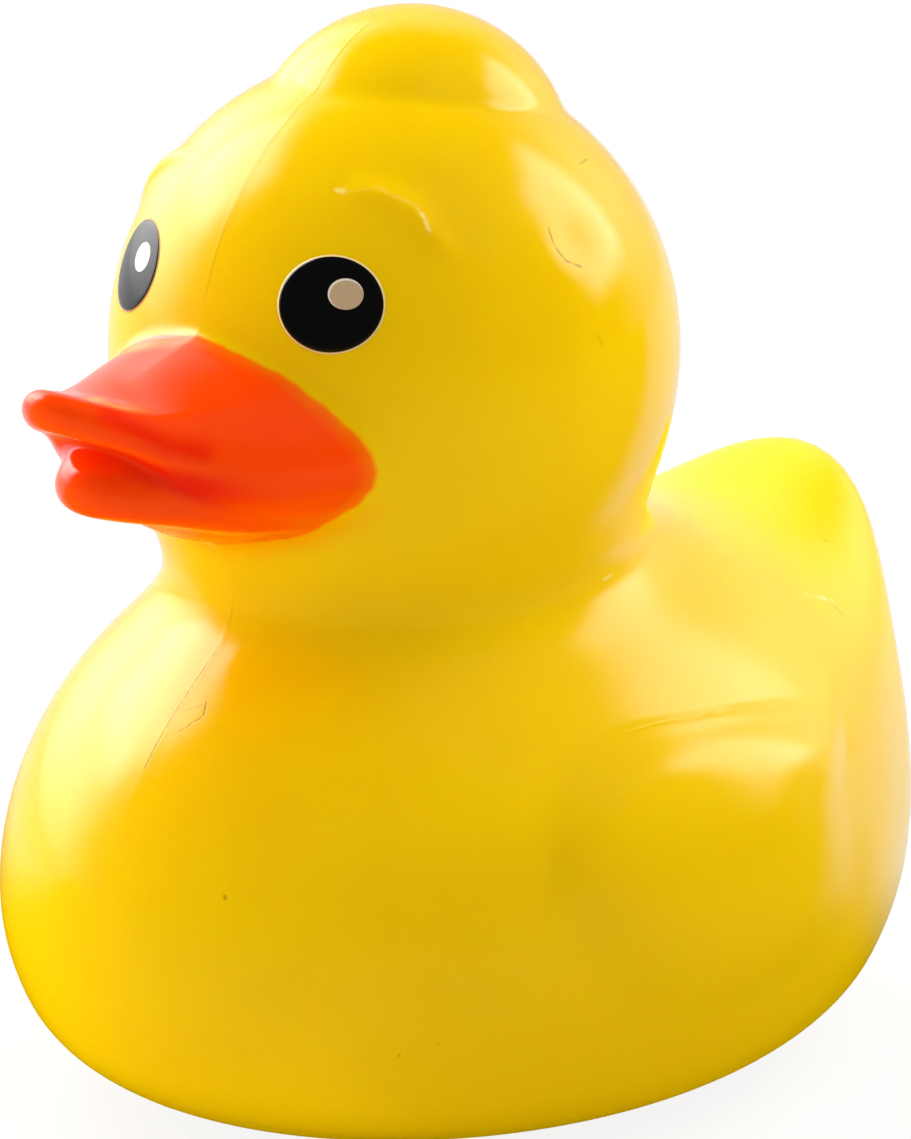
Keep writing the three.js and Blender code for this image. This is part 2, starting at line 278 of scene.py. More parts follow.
def head_field(x, y, z):
    back, up = y - HEAD_Y, z - HEAD_Z
    length = egg_radius(back, HEAD_FRONT, HEAD_BACK, HEAD_BLEND)
    height = egg_radius(up, HEAD_BELOW, HEAD_ABOVE, HEAD_BLEND)
    return ellipsoid(x, back, up, HEAD_HALF_WIDTH, length, height) - brow_relief(x, y, z)


def crest_field(x, y, z):
    return ellipsoid(x, y - CREST_Y, z - CREST_Z, CREST_HALF_WIDTH, CREST_HALF_LENGTH, CREST_HALF_HEIGHT)


def bill_lips(x, y, z):
    side, back, up = np.abs(x), y - BILL_Y, z - BILL_Z
    arched = up + LIP_ARCH * (side / UPPER_LIP_HALF_WIDTH) ** 2
    curl = UPPER_LIP_CURL * (np.maximum(-back, 0) / UPPER_LIP_REACH) ** 3
    upper = lip(side, back, arched - UPPER_LIP_RISE - curl,
                UPPER_LIP_HALF_WIDTH, UPPER_LIP_REACH, UPPER_LIP_HALF_THICKNESS)
    lower = lip(side, back, arched + LOWER_LIP_DROP,
                LOWER_LIP_HALF_WIDTH, LOWER_LIP_REACH, LOWER_LIP_HALF_THICKNESS)
    return upper, lower


def bill_field(x, y, z):
    side, up = np.abs(x), z - BILL_Z
    height = egg_radius(up, MUZZLE_BELOW, MUZZLE_ABOVE, MUZZLE_BLEND) - MUZZLE_KEEL * side
    muzzle = ellipsoid(side, y - BILL_Y, up, MUZZLE_HALF_WIDTH, MUZZLE_REACH, np.maximum(height, 1.0))
    upper, lower = bill_lips(x, y, z)
    return filleted_join(filleted_join(muzzle, upper, UPPER_LIP_FILLET), lower, MOUTH_FILLET)


def bill_root(x, y, z):
    """How far onto the bill a place on the skin lies, in millimetres, below zero off it."""
    bill = bill_field(x, y, z)
    return np.minimum(head_field(x, y, z), BILL_DEPTH) - bill


def mouth_shade_share(x, y, z):
    """Strength of the painted shade in the corners of the mouth between the lips: one there, fading to zero
    around them.
    """
    upper, lower = bill_lips(x, y, z)
    across = (upper - lower) / MOUTH_HALF_WIDTH
    along = (BILL_Y - y - MOUTH_CORNER) / MOUTH_LENGTH
    return np.exp(-across ** 4 - along ** 2)


def hollow_shade_share(points):
    """Strength of the painted shade, a deeper red, in the hollow above each side of the upper lip's edge,
    fading to zero around it.
    """
    mirrored = np.stack((np.abs(points[:, 0]), points[:, 1] - BODY_Y, points[:, 2]), axis=1)
    places = np.array(HOLLOW_PLACES)
    nearest = np.full(len(points), np.inf)
    for start, end in zip(places, places[1:]):
        run = end - start
        share = np.clip((mirrored - start) @ run / (run @ run), 0, 1)
        nearest = np.minimum(nearest, np.linalg.norm(mirrored - start - share[:, None] * run, axis=1))
    return HOLLOW_STRENGTH * np.exp(-(nearest / HOLLOW_HALF_WIDTH) ** 2)


def duck_field(x, y, z):
    """Distance-like field of the moulding in millimetres, below zero inside it."""
    hull = filleted_join(body_field(x, y, z), tail_field(x, y, z), TAIL_FILLET) - wing_relief(y, z)
    body = rounded_cut(hull, -z, BASE_ROUNDING)
    head = filleted_join(head_field(x, y, z), crest_field(x, y, z), CREST_FILLET)
    return filleted_join(soft_join(head, body, NECK_FILLET), bill_field(x, y, z), BILL_FILLET)


def field_slope(points, step=0.02):
    columns = []
    for axis in np.eye(3):
        ahead, behind = points + axis * step, points - axis * step
        columns.append((duck_field(*ahead.T) - duck_field(*behind.T)) / (2 * step))
    return np.stack(columns, axis=1)


def settle_on_skin(points, passes=5, longest_step=0.6):
    """Moves points in millimetres straight onto the moulding's surface and gives their normals too."""
    points = points.copy()
    for _ in range(passes):
        slope = field_slope(points)
        steepness = np.linalg.norm(slope, axis=1, keepdims=True)
        step = duck_field(*points.T)[:, None] / np.maximum(steepness, 0.2)
        points -= np.clip(step, -longest_step, longest_step) * slope / np.maximum(steepness, 1e-6)
    slope = field_slope(points)
    return points, slope / np.maximum(np.linalg.norm(slope, axis=1, keepdims=True), 1e-6)


# Seam of the mould, dents on the sides of the head, and bead and rear of the wings, in millimetres
SEAM_HALF_WIDTH, SEAM_BILL_GAP, SEAM_LOW_END = 0.22, 1.0, 2.0
DENT_PLACE = np.array((20.7, HEAD_Y - 0.7, 77.1))
DENT_RADIUS = 2.4
BEAD_HEIGHT, BEAD_SHARE, BEAD_SIDE, BEAD_END = 0.25, 0.09, (18.0, 26.0), (28.0, 20.0)
REAR_SPAN, TIP_SPAN, REAR_UP, REAR_BLEND, BEAD_UP = (8.0, 26.0), (17.0, 28.0), 4.5, 2.0, 4.5

# How finely the skin is drawn: cuts of each edge, and how near the bill and the wing's edge it is finer
SKIN_CUTS, DETAIL_CUTS, DETAIL_BILL, DETAIL_WING = 2, 1, -3.0, 0.35

# Fine marks in millimetres from the body's centre: strokes through a few places, half width and strength. The
# dark ones are nicks, scratches and specks, with painted shade along the chest's seam and along the gate
# mark's raised edges; the pale ones are scuffs, with painted highlights along the left brow
DARK_NICKS_AND_SHADE = (
    (((16.7, -5.8, 82.2), (16.0, -3.8, 82.4)), 0.14, 0.5),
    (((20.1, -13.3, 78.4), (20.8, -13.4, 77.0), (21.5, -12.7, 75.8), (21.9, -11.3, 75.2)), 0.15, 0.6),
    (((23.6, -11.1, 69.8), (23.8, -10.5, 68.9)), 0.12, 0.3),
    # The next two: dark edges of the gate mark, painted shade along its raised edges with a fine groove in
    # the bump
    (((2.3, -34.0, 39.1), (2.9, -34.9, 38.1), (1.5, -36.3, 36.9)), 0.17, 0.5),
    (((2.1, -34.3, 38.9), (0.9, -35.0, 38.2)), 0.12, 0.3),
    (((-0.4, -33.7, 39.4), (-0.4, -36.5, 36.7)), 0.12, 0.3),
    # Painted shade along the seam down the chest, where its ridge breaks the gloss
    (((0, -31.0, 43.0), (0, -33.0, 41.3), (0, -35.0, 39.3), (0, -37.0, 36.8), (0, -39.0, 33.9)), 0.14, 0.45),
    (((19.0, 28.0, 39.2), (19.9, 28.6, 38.2)), 0.16, 0.4),
    (((12.5, 35.3, 42.5), (12.6, 35.4, 42.4)), 0.28, 0.5),
    (((11.0, -40.6, 26.0), (11.1, -40.6, 25.8)), 0.25, 0.5),
    (((23.0, -32.6, 13.5), (23.1, -32.6, 13.4)), 0.2, 0.45),
    (((25.2, -30.4, 14.5), (25.3, -30.3, 14.5)), 0.18, 0.35),
)
PALE_SCUFFS_AND_HIGHLIGHTS = (
    # The left brow's first three strokes are painted highlights along its ridge
    (((8.3, -25.6, 81.4), (8.7, -25.5, 81.3)), 0.45, 0.4),
    (((8.9, -25.4, 81.2), (11.3, -23.8, 81.4), (13.0, -23.2, 80.6), (14.4, -22.5, 79.9)), 0.3, 0.08),
    (((14.6, -22.9, 80.2), (15.3, -22.9, 79.4), (15.9, -23.0, 78.6)), 0.28, 0.45),
    (((18.6, 24.9, 40.5), (18.6, 26.7, 39.9), (18.7, 28.4, 39.3)), 0.5, 0.4),
    (((19.0, -5.0, 47.4), (18.9, -3.9, 47.6)), 0.25, 0.35),
)


def seam_relief(points, height):
    """A fine ridge on the middle plane, left off the bill and the base."""
    x, y, z = points.T
    on_bill = bill_field(x, y, z) < head_field(x, y, z) + SEAM_BILL_GAP
    ridge = np.maximum(1 - np.abs(x) / SEAM_HALF_WIDTH, 0)
    return height * ridge * np.where(on_bill | (z < SEAM_LOW_END), 0, 1)


def bead_relief(points):
    """A fine bead along the top edge of each wing, fading towards its rear."""
    inside, up = wing_inside(points[:, 1], points[:, 2])
    share = ramp(np.abs(points[:, 0]), *BEAD_SIDE) * ramp(points[:, 1] - WING_Y, *BEAD_END)
    share = share * positive_share(up - BEAD_UP, REAR_BLEND)
    return BEAD_HEIGHT * np.exp(-(inside / BEAD_SHARE) ** 2) * share


def rear_relief(points):
    """Sinks the rear of each wing smoothly into the flank, first below its top edge and then at its tip."""
    _, up = wing_inside(points[:, 1], points[:, 2])
    below, tip = (smooth_ramp(points[:, 1] - WING_Y, *span) for span in (REAR_SPAN, TIP_SPAN))
    share = 1 - (1 - below * positive_share(REAR_UP - up, REAR_BLEND)) * (1 - tip)
    return -wing_relief(points[:, 1], points[:, 2]) * share * ramp(np.abs(points[:, 0]), *BEAD_SIDE)


def needs_detail(points):
    """Whether places lie on the bill or near the top edge of a wing, where the form is fine."""
    inside, up = wing_inside(points[:, 1], points[:, 2])
    at_wing = (np.abs(inside) < DETAIL_WING) & (up > 0) & (np.abs(points[:, 0]) > BEAD_SIDE[0])
    return at_wing | (bill_root(*points.T) > DETAIL_BILL)


def dent_share(points):
    """One in the middle of the dent on each side of the head, fading to zero around it."""
    offset = np.abs(points * (1, 0, 0)) + points * (0, 1, 1) - DENT_PLACE
    return np.exp(-np.sum(offset ** 2, axis=1) / DENT_RADIUS ** 2)


def finished_skin(points, sizes):
    """Points moved onto the plain skin, and the same with the seam, the beads and the dents."""
    points, normals = settle_on_skin(points)
    relief = seam_relief(points, sizes.seam_height / MM) + bead_relief(points) + rear_relief(points)
    relief -= dent_share(points) * sizes.dent_depth / MM
    return points, points + normals * relief[:, None]


def mesh_points(mesh):
    flat = np.empty(len(mesh.vertices) * 3, np.float32)
    mesh.vertices.foreach_get("co", flat)
    return flat.reshape(-1, 3).astype(float) / MM


def set_mesh_points(mesh, points):
    mesh.vertices.foreach_set("co", (points * MM).astype(np.float32).ravel())
    mesh.update()


def store_value(mesh, name, values):
    attribute = mesh.attributes.new(name, "FLOAT", "POINT")
    attribute.data.foreach_set("value", values.astype(np.float32))


def add_piece(name, mesh, material):
    piece = bpy.data.objects.new(name, mesh)
    bpy.context.scene.collection.objects.link(piece)
    mesh.materials.clear()
    mesh.materials.append(material)
    mesh.shade_smooth()
    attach(piece, BODY)
    return piece


class NodeTree:
    """Short hands for placing and linking nodes in one tree."""

    def __init__(self, tree):
        self.tree = tree
        self.tree.nodes.clear()

    def add(self, kind, values=(), **settings):
        node = self.tree.nodes.new(kind)
        for setting, value in settings.items():
            setattr(node, setting, value)
        for socket, value in dict(values).items():
            self.feed(node.inputs[socket], value)
        return node

    def feed(self, socket, value):
        if isinstance(value, bpy.types.NodeSocket):
            self.tree.links.new(value, socket)
        else:
            socket.default_value = value

    def math(self, operation, a, b=0.0, clamp=False):
        node = self.add("ShaderNodeMath", {0: a, 1: b}, operation=operation, use_clamp=clamp)
        return node.outputs[0]

    def ramp(self, value, low, high, to_low=0.0, to_high=1.0):
        values = {"Value": value, "From Min": low, "From Max": high, "To Min": to_low, "To Max": to_high}
        return self.add("ShaderNodeMapRange", values, interpolation_type="SMOOTHSTEP").outputs["Result"]

    def mix(self, factor, a, b):
        node = self.add("ShaderNodeMix", data_type="RGBA")
        for socket, value in (("Factor_Float", factor), ("A_Color", a), ("B_Color", b)):
            self.feed(next(s for s in node.inputs if s.identifier == socket), value)
        return next(s for s in node.outputs if s.identifier == "Result_Color")

    def noise(self, vector, scale, detail=2.0):
        values = {"Vector": vector, "Scale": scale, "Detail": detail}
        return self.add("ShaderNodeTexNoise", values).outputs["Fac"]


def new_group(name, inputs, outputs):
    """An empty node group with float or vector sockets; gives its tree, its inputs and its output node."""
    tree = bpy.data.node_groups.new(name, "ShaderNodeTree")
    nodes = NodeTree(tree)
    for direction, sockets in (("INPUT", inputs), ("OUTPUT", outputs)):
        for socket, kind in sockets.items():
            tree.interface.new_socket(socket, in_out=direction, socket_type=f"NodeSocket{kind}")
    return nodes, nodes.add("NodeGroupInput"), nodes.add("NodeGroupOutput")


# Noises of the finish: scale of the gloss's drift, and how much detail the fine ones have
DRIFT_SCALE, PEEL_DETAIL, FINE_DETAIL = 60.0, 1.0, 3.0

# Edge of a fine mark, as shares of its half width
STROKE_EDGE = (1.0, 0.3)


def gloss_group():
    """Gloss of soft plastic: roughness that drifts a little, and a faint orange peel."""
    name = "Soft Gloss"
    if name in bpy.data.node_groups:
        return bpy.data.node_groups[name]
    inputs = {"Vector": "Vector", "Roughness": "Float", "Drift": "Float", "Peel Scale": "Float"}
    nodes, given, out = new_group(name, inputs, {"Roughness": "Float", "Height": "Float"})
    cloud = nodes.math("SUBTRACT", nodes.noise(given.outputs["Vector"], DRIFT_SCALE), 0.5)
    drift = nodes.math("MULTIPLY", cloud, given.outputs["Drift"])
    nodes.feed(out.inputs["Roughness"], nodes.math("ADD", given.outputs["Roughness"], drift))
    peel = nodes.noise(given.outputs["Vector"], given.outputs["Peel Scale"], PEEL_DETAIL)
    nodes.feed(out.inputs["Height"], peel)
    return nodes.tree


def stroke_group():
    """Mask of one fine straight mark between two places on the skin."""
    name = "Nick"
    if name in bpy.data.node_groups:
        return bpy.data.node_groups[name]
    inputs = {"Vector": "Vector", "Start": "Vector", "End": "Vector",
              "Half Width": "Float", "Strength": "Float"}
    nodes, given, out = new_group(name, inputs, {"Mask": "Float"})

    def vector(operation, a, b, output="Vector"):
        return nodes.add("ShaderNodeVectorMath", {0: a, 1: b}, operation=operation).outputs[output]

    run = vector("SUBTRACT", given.outputs["End"], given.outputs["Start"])
    offset = vector("SUBTRACT", given.outputs["Vector"], given.outputs["Start"])
    share = nodes.math("DIVIDE", vector("DOT_PRODUCT", offset, run, "Value"),
                       vector("DOT_PRODUCT", run, run, "Value"), clamp=True)
    along = nodes.add("ShaderNodeVectorMath", {0: run, "Scale": share}, operation="SCALE").outputs["Vector"]
    reach = nodes.math("DIVIDE", vector("DISTANCE", offset, along, "Value"), given.outputs["Half Width"])
    nodes.feed(out.inputs["Mask"], nodes.ramp(reach, *STROKE_EDGE, 0.0, given.outputs["Strength"]))
    return nodes.tree


def stroke_masks(nodes, place, marks, sizes):
    """Mask of a set of fine marks, whose places are moved onto the skin first."""
    mask = 0.0
    for places, half_width, strength in marks:
        _, settled = finished_skin(np.array(places) + (0, BODY_Y, 0), sizes)
        for start, end in zip(settled * MM, settled[1:] * MM):
            stroke = nodes.add("ShaderNodeGroup", node_tree=stroke_group())
            values = (place, tuple(start), tuple(end), half_width * MM, strength)
            for socket, value in zip(stroke.inputs, values):
                nodes.feed(socket, value)
            mask = nodes.math("MAXIMUM", mask, stroke.outputs["Mask"])
    return mask


# Finish of the skin: gloss, what dulls it, bump, and the light that soaks into it
SKIN_ROUGHNESS, SKIN_DRIFT, SKIN_PEEL_SCALE, SKIN_IOR = 0.13, 0.04, 900.0, 1.45
PAINT_DULLING, DENT_DULLING, WORN_DULLING = 0.02, 0.1, 0.09
PEEL_SHARE, SKIN_BUMP, SKIN_BUMP_DEPTH = 0.12, 0.25, 0.00008
SOAK_WEIGHT, SOAK_RADIUS, SOAK_SCALE = 0.4, (1.0, 0.45, 0.1), 0.0025

# Where the skin's colours, its painted glow and painted shade, and its wear change, in metres, and the noises
# that break them up
MOTTLE_SCALE, MOTTLE_SPAN = 45.0, (0.35, 0.7)
# Back and tail, where the lighter yellow is a painted glow
TAIL_BACK_SPAN, TAIL_HEIGHT_SPAN = (-0.005, 0.036), (0.028, 0.042)
# Low on the wing flanks, where the deeper yellow is painted shade
FLANK_SIDE_SPAN, FLANK_HEIGHT_SPAN = (0.018, 0.029), (0.036, 0.026)
WORN_BACK_SPAN, WORN_TOP_SPAN, WORN_LOW_SPAN = (-0.018, 0.002), (0.058, 0.048), (0.025, 0.036)
PATCHY_SCALE, PATCHY_SPAN = 1300.0, (0.36, 0.56)
# Line along the seam: painted shade where the seam's ridge breaks the gloss
SEAM_SCALE, SEAM_BROKEN_SPAN, SEAM_HEIGHT_SPAN = 150.0, (0.4, 0.6), (0.03, 0.034)
SEAM_LINE_SPAN, SEAM_STRENGTH = (0.00016, 0.00006), 0.2

# Spray on the bill and end of the seam before it, in millimetres onto the bill, with the edge's wander
WANDER_SCALE, WANDER, THIN_WANDER = 200.0, 1.2, 1.5
PAINT_SPAN, MIST_SPAN, THIN_SPAN, SEAM_END_SPAN = (-0.15, 0.35), (-2.2, 0.2), (1.6, -0.2), (-1.5, -4.0)

# Mist of the spray under the chin: how far below the bill's middle it starts, in metres, and its strength
CHIN_DROP_SPAN, MIST_STRENGTH = (0.002, 0.007), 0.5


def skin_material(sizes, colours):
    material = bpy.data.materials.new("duck_skin")
    material.use_nodes = True
    nodes = NodeTree(material.node_tree)
    place = nodes.add("ShaderNodeTexCoord").outputs["Object"]
    root = nodes.add("ShaderNodeAttribute", attribute_name="bill_root").outputs["Fac"]

    mottle = nodes.ramp(nodes.noise(place, MOTTLE_SCALE, FINE_DETAIL), *MOTTLE_SPAN)
    skin = nodes.mix(mottle, tuple(colours.skin), tuple(colours.skin_deep))

    side, back, height = nodes.add("ShaderNodeSeparateXYZ", {0: place}).outputs
    # Painted glow: the back and the tail turn a lighter yellow that stands in for light from behind and
    # through the thin tail
    tail = nodes.math("MULTIPLY", nodes.ramp(back, *TAIL_BACK_SPAN), nodes.ramp(height, *TAIL_HEIGHT_SPAN))
    skin = nodes.mix(tail, skin, tuple(colours.skin_painted_glow))

    # Painted shade: the flanks low on the wings turn a deeper yellow
    flank = nodes.ramp(nodes.math("ABSOLUTE", side), *FLANK_SIDE_SPAN)
    flank = nodes.math("MULTIPLY", flank, nodes.ramp(height, *FLANK_HEIGHT_SPAN))
    skin = nodes.mix(flank, skin, tuple(colours.skin_flank_shade))

    chin = nodes.ramp(height, *(BILL_Z * MM - drop for drop in CHIN_DROP_SPAN))
    cloud = nodes.math("SUBTRACT", nodes.noise(place, WANDER_SCALE, FINE_DETAIL), 0.5)
    wander = nodes.math("MULTIPLY", cloud, WANDER)
    edge = nodes.math("ADD", root, wander)
    paint = nodes.ramp(edge, *PAINT_SPAN)
    mist = nodes.math("MULTIPLY", nodes.ramp(edge, *MIST_SPAN), nodes.math("MULTIPLY", chin, MIST_STRENGTH))
    thin = nodes.ramp(nodes.math("ADD", root, nodes.math("MULTIPLY", wander, THIN_WANDER)), *THIN_SPAN)
    bill = nodes.mix(thin, tuple(colours.bill), tuple(colours.bill_thin))
    # Painted shade: the mouth's groove and the hollow above the upper lip turn deep red
    mouth = nodes.add("ShaderNodeAttribute", attribute_name="mouth").outputs["Fac"]
    bill = nodes.mix(mouth, bill, tuple(colours.mouth))
    colour = nodes.mix(nodes.math("MAXIMUM", paint, mist), skin, bill)

    # Painted shade: a broken dark line along the seam, where its ridge breaks the gloss
    broken = nodes.ramp(nodes.noise(place, SEAM_SCALE), *SEAM_BROKEN_SPAN)
    broken = nodes.math("MULTIPLY", broken, nodes.ramp(height, *SEAM_HEIGHT_SPAN))
    seam = nodes.math("MULTIPLY", nodes.ramp(nodes.math("ABSOLUTE", side), *SEAM_LINE_SPAN), broken)
    seam = nodes.math("MULTIPLY", seam, nodes.ramp(root, *SEAM_END_SPAN, 0.0, SEAM_STRENGTH))
    colour = nodes.mix(seam, colour, tuple(colours.grime_and_shade))

    patchy = nodes.ramp(nodes.noise(place, PATCHY_SCALE), *PATCHY_SPAN)
    # Dark nicks and specks, with painted shade along the chest's seam and along the gate mark's edges
    marks = nodes.math("MULTIPLY", stroke_masks(nodes, place, DARK_NICKS_AND_SHADE, sizes), patchy)
    # Pale scuffs, with painted highlights along the left brow
    scuffs_and_highlights = nodes.math("MULTIPLY", stroke_masks(nodes, place, PALE_SCUFFS_AND_HIGHLIGHTS, sizes), patchy)
    colour = nodes.mix(scuffs_and_highlights, colour, tuple(colours.scuff_and_highlight))
    colour = nodes.mix(marks, colour, tuple(colours.grime_and_shade))

    gloss = nodes.add("ShaderNodeGroup", node_tree=gloss_group())
    for socket, value in zip(gloss.inputs, (place, SKIN_ROUGHNESS, SKIN_DRIFT, SKIN_PEEL_SCALE)):
        nodes.feed(socket, value)
    dent = nodes.add("ShaderNodeAttribute", attribute_name="dent").outputs["Fac"]
    worn = nodes.ramp(height, *WORN_TOP_SPAN, 0.0, WORN_DULLING)
    worn = nodes.math("MULTIPLY", nodes.ramp(back, *WORN_BACK_SPAN), worn)
    worn = nodes.math("MULTIPLY", worn, nodes.ramp(height, *WORN_LOW_SPAN))
    dulled = nodes.math("MULTIPLY", paint, PAINT_DULLING)
    dulled = nodes.math("ADD", dulled, nodes.math("MULTIPLY", dent, DENT_DULLING))
    dulled = nodes.math("ADD", dulled, worn)
    relief = nodes.math("SUBTRACT", nodes.math("MULTIPLY", gloss.outputs["Height"], PEEL_SHARE), marks)
    bump = nodes.add("ShaderNodeBump", {
        "Height": relief, "Strength": SKIN_BUMP, "Distance": SKIN_BUMP_DEPTH})
    shader = nodes.add("ShaderNodeBsdfPrincipled", {
        "Base Color": colour,
        "Roughness": nodes.math("ADD", gloss.outputs["Roughness"], dulled),
        "Normal": bump.outputs["Normal"],
        "IOR": SKIN_IOR,
        "Subsurface Weight": SOAK_WEIGHT,
        "Subsurface Radius": SOAK_RADIUS,
        "Subsurface Scale": SOAK_SCALE,
    })
    output = nodes.add("ShaderNodeOutputMaterial")
    nodes.feed(output.inputs["Surface"], shader.outputs["BSDF"])
    return material


# Print of the eyes: place and edge of the glint in metres, steps round and across an eye, and its gloss
GLINT_OFFSET, GLINT_RIM, INK_SOFTNESS = (0.0012, 0.0009), 0.00016, 0.00003
EYE_SEGMENTS, EYE_RINGS = 80, 12
EYE_ROUGHNESS, EYE_DRIFT, EYE_PEEL_SCALE, EYE_IOR = 0.16, 0.06, 1500.0, 1.42
EYE_BUMP, EYE_BUMP_DEPTH = 0.1, 0.00005


def eye_material(sizes, colours):
    """Ink of an eye, drawn on a UV map whose unit is the eye's width, with its middle at (0.5, 0.5)."""
    material = bpy.data.materials.new("eye_print")
    material.use_nodes = True
    nodes = NodeTree(material.node_tree)
    uv = nodes.add("ShaderNodeUVMap", uv_map="print").outputs["UV"]

    def oval(middle, width, height):
        """Distance from an oval's edge, in metres, below zero inside it."""
        scale = (2 * sizes.eye_width / width, 2 * sizes.eye_width / height, 0)
        shifted = nodes.add("ShaderNodeVectorMath", {0: uv, 1: (*middle, 0)}, operation="SUBTRACT").outputs[0]
        stretched = nodes.add("ShaderNodeVectorMath", {0: shifted, 1: scale}, operation="MULTIPLY").outputs[0]
        length = nodes.add("ShaderNodeVectorMath", {0: stretched}, operation="LENGTH").outputs["Value"]
        return nodes.math("MULTIPLY", nodes.math("SUBTRACT", length, 1.0), min(width, height) / 2)

    rim = 2 * sizes.eye_rim
    outer = oval((0.5, 0.5), sizes.eye_width - rim, sizes.eye_height - rim)
    middle = (0.5 + GLINT_OFFSET[0] / sizes.eye_width, 0.5 + GLINT_OFFSET[1] / sizes.eye_width)
    glint = oval(middle, sizes.glint_width, sizes.glint_height)
    soft = INK_SOFTNESS
    colour = nodes.mix(nodes.ramp(outer, -soft, soft), tuple(colours.eye), tuple(colours.eye_rim))
    colour = nodes.mix(nodes.ramp(glint, soft, -soft), colour, tuple(colours.glint_rim))
    shifted = (middle[0] + GLINT_RIM / 2 / sizes.eye_width, middle[1] - GLINT_RIM / 2 / sizes.eye_width)
    inner = oval(shifted, sizes.glint_width - GLINT_RIM, sizes.glint_height - GLINT_RIM)
    place = nodes.add("ShaderNodeTexCoord").outputs["Object"]
    # Painted sheen: the right eye's glint is whiter than the left one's, standing in for the light it catches
    on_right = nodes.math("LESS_THAN", nodes.add("ShaderNodeSeparateXYZ", {0: place}).outputs["X"], 0.0)
    fill = nodes.mix(on_right, tuple(colours.glint), tuple(colours.glint_right_painted_sheen))
    colour = nodes.mix(nodes.ramp(inner, soft, -soft), colour, fill)

    gloss = nodes.add("ShaderNodeGroup", node_tree=gloss_group())
    for socket, value in zip(gloss.inputs, (place, EYE_ROUGHNESS, EYE_DRIFT, EYE_PEEL_SCALE)):
        nodes.feed(socket, value)
    bump = nodes.add("ShaderNodeBump", {
        "Height": gloss.outputs["Height"], "Strength": EYE_BUMP, "Distance": EYE_BUMP_DEPTH})
    shader = nodes.add("ShaderNodeBsdfPrincipled", {
        "Base Color": colour,
        "Roughness": gloss.outputs["Roughness"],
        "Normal": bump.outputs["Normal"],
        "IOR": EYE_IOR,
    })
    output = nodes.add("ShaderNodeOutputMaterial")
    nodes.feed(output.inputs["Surface"], shader.outputs["BSDF"])
    return material


class DUCK_OT_build_skin(bpy.types.Operator):
    """Makes the moulding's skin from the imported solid, drawn finer and with its seam, beads and dents"""

    bl_idname = "duck.build_skin"
    bl_label = "Build Skin"

    def execute(self, context):
        sizes, colours = context.scene.duck_sizes, context.scene.duck_colours
        mesh = bpy.data.meshes.new("duck_skin")
        bm = bmesh.new()
        bm.from_mesh(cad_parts[NODE].data)
        bmesh.ops.remove_doubles(bm, verts=bm.verts, dist=MM / 1000)
        bmesh.ops.subdivide_edges(bm, edges=bm.edges, cuts=SKIN_CUTS, use_grid_fill=True)
        bm.edges.ensure_lookup_table()
        middles = np.array([(edge.verts[0].co + edge.verts[1].co) / 2 for edge in bm.edges]) / MM
        fine = [bm.edges[i] for i in np.flatnonzero(needs_detail(middles))]
        bmesh.ops.subdivide_edges(bm, edges=fine, cuts=DETAIL_CUTS, use_grid_fill=True)
        bmesh.ops.triangulate(bm, faces=bm.faces)
        bm.to_mesh(mesh)
        bm.free()

        points, finished = finished_skin(mesh_points(mesh), sizes)
        set_mesh_points(mesh, finished)
        store_value(mesh, "bill_root", bill_root(*points.T))
        # The painted shade of the mouth's groove and of the hollow above the upper lip
        store_value(mesh, "mouth", np.maximum(mouth_shade_share(*points.T), hollow_shade_share(points)))
        store_value(mesh, "dent", dent_share(points))
        piece = add_piece("duck_skin", mesh, skin_material(sizes, colours))
        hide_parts(NODE)
        return {"FINISHED"}


class DUCK_OT_print_eyes(bpy.types.Operator):
    """Prints an eye on each side of the head, as a thin coat of ink that follows the skin"""

    bl_idname = "duck.print_eyes"
    bl_label = "Print Eyes"

    def execute(self, context):
        sizes, colours = context.scene.duck_sizes, context.scene.duck_colours
        material = eye_material(sizes, colours)
        for name, side in (("eye_left", 1), ("eye_right", -1)):
            add_piece(name, self.eye_mesh(name, side, sizes), material)
        return {"FINISHED"}

    def eye_mesh(self, name, side, sizes):
        bm = bmesh.new()
        thickness = sizes.print_thickness
        rings = [i / EYE_RINGS for i in range(EYE_RINGS + 1)]
        profile = [(r, thickness) for r in rings[:-1]] + [(1, 0)] + [(r, -thickness) for r in rings[-2::-1]]
        path = [bm.verts.new((r, 0, w)) for r, w in profile]
        edges = [bm.edges.new(pair) for pair in zip(path, path[1:])]
        bmesh.ops.spin(bm, geom=path + edges, cent=(0, 0, 0), axis=(0, 0, 1), angle=2 * math.pi,
                       steps=EYE_SEGMENTS, use_merge=True)
        bmesh.ops.remove_doubles(bm, verts=bm.verts, dist=thickness / 100)
        bmesh.ops.scale(bm, verts=bm.verts, vec=(sizes.eye_width / 2, sizes.eye_height / 2, 1))
        bmesh.ops.recalc_face_normals(bm, faces=bm.faces)
        layer = bm.loops.layers.uv.new("print")
        for face in bm.faces:
            for loop in face.loops:
                loop[layer].uv = loop.vert.co.xy / sizes.eye_width + Vector((0.5, 0.5))
        mesh = bpy.data.meshes.new(name)
        bm.to_mesh(mesh)
        bm.free()

        flat = mesh_points(mesh)
        middle, outward = settle_on_skin(np.array([(side * EYE_SIDE, EYE_Y, EYE_Z)]))
        up = np.array((0, 0, 1)) - outward[0] * outward[0][2]
        up /= np.linalg.norm(up)
        right = np.cross(up, outward[0])
        spread = middle[0] + flat[:, :1] * right + flat[:, 1:2] * up
        settled, normals = settle_on_skin(spread)
        set_mesh_points(mesh, settled + normals * flat[:, 2:])
        return mesh


